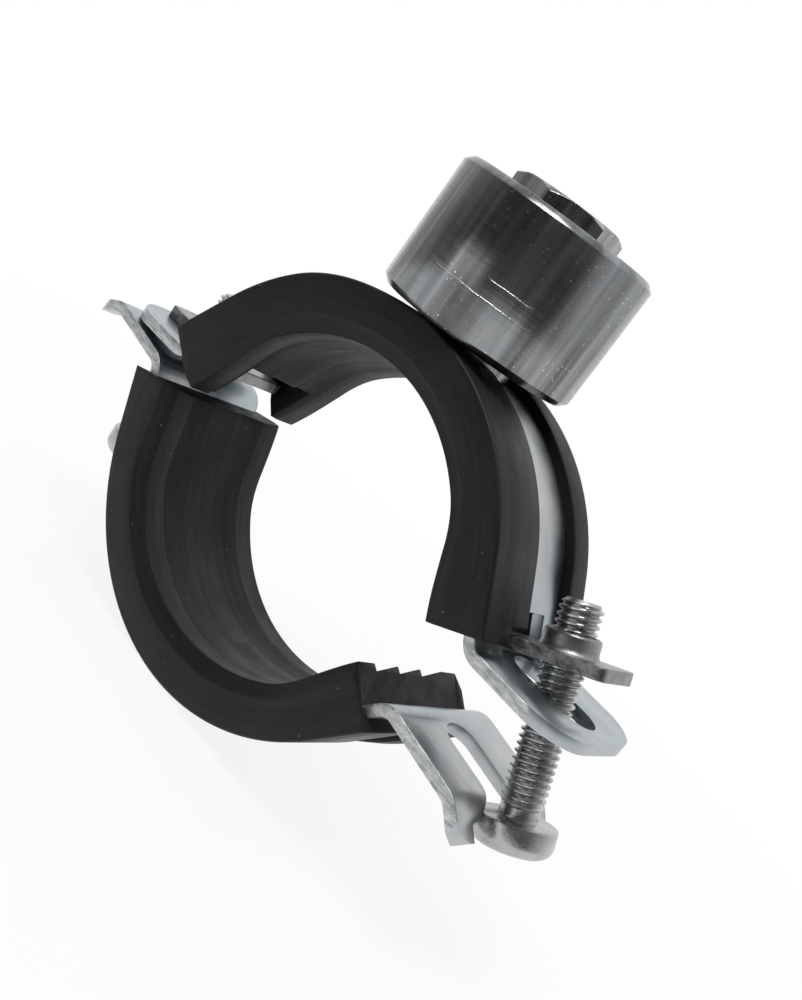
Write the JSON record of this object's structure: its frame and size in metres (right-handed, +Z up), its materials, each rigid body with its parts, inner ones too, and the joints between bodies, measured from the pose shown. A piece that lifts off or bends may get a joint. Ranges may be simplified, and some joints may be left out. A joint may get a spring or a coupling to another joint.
{
  "type": "rubber lined pipe clamp",
  "caption": "Split steel pipe clamp with ribbed rubber lining, hooked nut plates, screws and a threaded boss that hangs it from a rod.",
  "frame": {"origin": "centre of the upper half's ring, where the pipe's axis lies", "axes": "+Y along the pipe, +Z up along the boss and its threads, +X to the closing side"},
  "size_m": [0.0933, 0.0264, 0.0733],
  "materials": {
    "zinc_band": "bright zinc plated sheet, faintly blue",
    "rubber": "matt black EPDM with fine streaks along its length",
    "turned_steel": "turned and zinc plated, shiny",
    "nut_steel": "zinc plated",
    "screw_steel": "zinc plated, cold formed",
    "plate_steel": "zinc plated, sheared edges"
  },
  "bodies": {
    "upper_half": {"upper_band": "zinc_band", "upper_lining": "rubber", "boss_sleeve": "turned_steel", "boss_nut": "nut_steel"},
    "lower_half": {"lower_band": "zinc_band", "lower_lining": "rubber"},
    "closing_plate": {"closing_nut_plate": "plate_steel"},
    "closing_bolt": {"closing_screw": "screw_steel"},
    "hinge_plate": {"hinge_nut_plate": "plate_steel"},
    "hinge_bolt": {"hinge_screw": "screw_steel"}
  },
  "joints": [
    {"name": "lower_swing", "type": "hinge", "parent": "upper_half", "child": "lower_half", "pos_m": [-0.0433, 0, 0.00615], "axis": [0, 1, 0], "range_deg": [-7.5, 5]},
    {"name": "closing_tilt", "type": "hinge", "parent": "upper_half", "child": "closing_plate", "pos_m": [0.0276, 0, 0.008], "axis": [0, -1, 0], "range_deg": [-23.1, 14]},
    {"name": "closing_travel", "type": "slide", "parent": "closing_plate", "child": "closing_bolt", "axis": [-0.3923, 0, 0.9198], "range_m": [-0.006, 0.006]},
    {"name": "hinge_tilt", "type": "hinge", "parent": "upper_half", "child": "hinge_plate", "pos_m": [-0.0276, 0, 0.008], "axis": [0, 1, 0], "range_deg": [0, 27]},
    {"name": "hinge_travel", "type": "slide", "parent": "hinge_plate", "child": "hinge_bolt", "axis": [0, 0, 1], "range_m": [-0.006, 0.006]}
  ]
}
